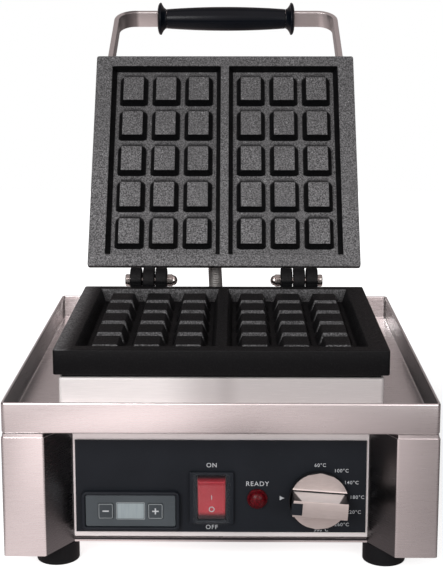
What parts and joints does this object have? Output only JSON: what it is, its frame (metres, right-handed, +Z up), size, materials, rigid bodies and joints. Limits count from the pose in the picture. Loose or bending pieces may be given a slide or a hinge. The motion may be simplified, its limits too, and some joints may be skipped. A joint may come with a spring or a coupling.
{
  "type": "waffle iron",
  "caption": "Countertop belgian waffle iron with hinged cast plates, a drip tray, a looped handle and a control panel.",
  "frame": {"origin": "on the standing surface, midway between the left and right tray walls and midway between the tray's front and the open handle's back", "axes": "+X to the right as seen from the controls, +Y to the back, +Z up"},
  "size_m": [0.305, 0.5591, 0.3987],
  "materials": {
    "brushed_stainless": "brushed stainless steel sheet",
    "handle_strip_steel": "satin stainless flat strip",
    "lower_cast_iron": "blackened cast iron, worn at the block edges",
    "upper_cast_iron": "granular grey-black cast iron",
    "fastener_chrome": "bright plated screws, bolts and acorn nuts",
    "conduit_steel": "ribbed metal conduit, grey",
    "fascia_black": "blue-black satin fascia",
    "black_gloss_plastic": "gloss black plastic",
    "black_matte_plastic": "matte black plastic",
    "foot_rubber": "black rubber",
    "knob_satin": "satin silver, slightly pink",
    "switch_red": "translucent red plastic",
    "lamp_red": "deep red lens",
    "clear_cover": "clear soft splash cover",
    "timer_grey": "grey glossy keypad face",
    "lcd_grey": "unlit pale grey-green display",
    "thermostat_steel": "plated steel",
    "element_steel": "heat-darkened steel sheath",
    "mineral_wool": "pressed mineral wool",
    "terminal_ceramic": "off-white terminal block"
  },
  "bodies": {
    "base": {"bottom_plate": "brushed_stainless", "conduit": "conduit_steel", "conduit_nut_base": "fastener_chrome", "control_fascia": "fascia_black", "cord_gland": "foot_rubber", "foot_front_left": "foot_rubber", "foot_front_right": "foot_rubber", "foot_rear_left": "foot_rubber", "foot_rear_right": "foot_rubber", "foot_screw_front_left": "fastener_chrome", "foot_screw_front_right": "fastener_chrome", "foot_screw_rear_left": "fastener_chrome", "foot_screw_rear_right": "fastener_chrome", "front_panel": "brushed_stainless", "front_screw_left": "fastener_chrome", "front_screw_middle": "fastener_chrome", "front_screw_right": "fastener_chrome", "hinge_bolt_left": "fastener_chrome", "hinge_bolt_right": "fastener_chrome", "hinge_nut_left": "fastener_chrome", "hinge_nut_right": "fastener_chrome", "lamp_body": "black_matte_plastic", "lamp_lens": "lamp_red", "left_side_panel": "brushed_stainless", "lower_element": "element_steel", "lower_insulation": "mineral_wool", "lower_plate": "lower_cast_iron", "plate_box": "brushed_stainless", "rear_panel": "brushed_stainless", "right_side_panel": "brushed_stainless", "switch_cover": "clear_cover", "switch_frame": "black_matte_plastic", "terminal_block": "terminal_ceramic", "thermostat_body": "thermostat_steel", "thermostat_bulb": "thermostat_steel", "timer_bezel": "black_matte_plastic", "timer_body": "black_matte_plastic", "timer_lcd": "lcd_grey", "timer_window": "timer_grey", "tray_pan": "brushed_stainless"},
    "lid": {"upper_plate": "upper_cast_iron", "lid_cover": "brushed_stainless", "upper_element": "element_steel", "upper_insulation": "mineral_wool", "handle_bracket": "handle_strip_steel", "handle_grip": "black_gloss_plastic", "grip_collar_left": "black_gloss_plastic", "grip_collar_right": "black_gloss_plastic", "handle_screw_left_front": "fastener_chrome", "handle_screw_left_rear": "fastener_chrome", "handle_screw_right_front": "fastener_chrome", "handle_screw_right_rear": "fastener_chrome", "conduit_nut_lid": "fastener_chrome"},
    "knob": {"thermostat_knob": "knob_satin", "knob_pointer": "black_matte_plastic"},
    "power_rocker": {"switch_rocker": "switch_red"},
    "minus_key": {"timer_minus_button": "timer_grey"},
    "plus_key": {"timer_plus_button": "timer_grey"}
  },
  "joints": [
    {"name": "lid_hinge", "type": "hinge", "parent": "base", "child": "lid", "pos_m": [0, 0.00512, 0.1532], "axis": [1, 0, 0], "range_deg": [0, 122], "deforming": ["conduit"]},
    {"name": "knob_turn", "type": "hinge", "parent": "base", "child": "knob", "pos_m": [0.0703, -0.25448, 0.0493], "axis": [0, 1, 0], "range_deg": [0, 270]},
    {"name": "power_switch_rock", "type": "hinge", "parent": "base", "child": "power_rocker", "pos_m": [-0.0065, -0.25338, 0.0502], "axis": [1, 0, 0], "range_deg": [-22, 0]},
    {"name": "timer_minus_press", "type": "slide", "parent": "base", "child": "minus_key", "axis": [0, 1, 0], "range_m": [0, 0.0008], "stiffness_N_per_m": 300, "springref_m": -0.0006},
    {"name": "timer_plus_press", "type": "slide", "parent": "base", "child": "plus_key", "axis": [0, 1, 0], "range_m": [0, 0.0008], "stiffness_N_per_m": 300, "springref_m": -0.0006}
  ]
}
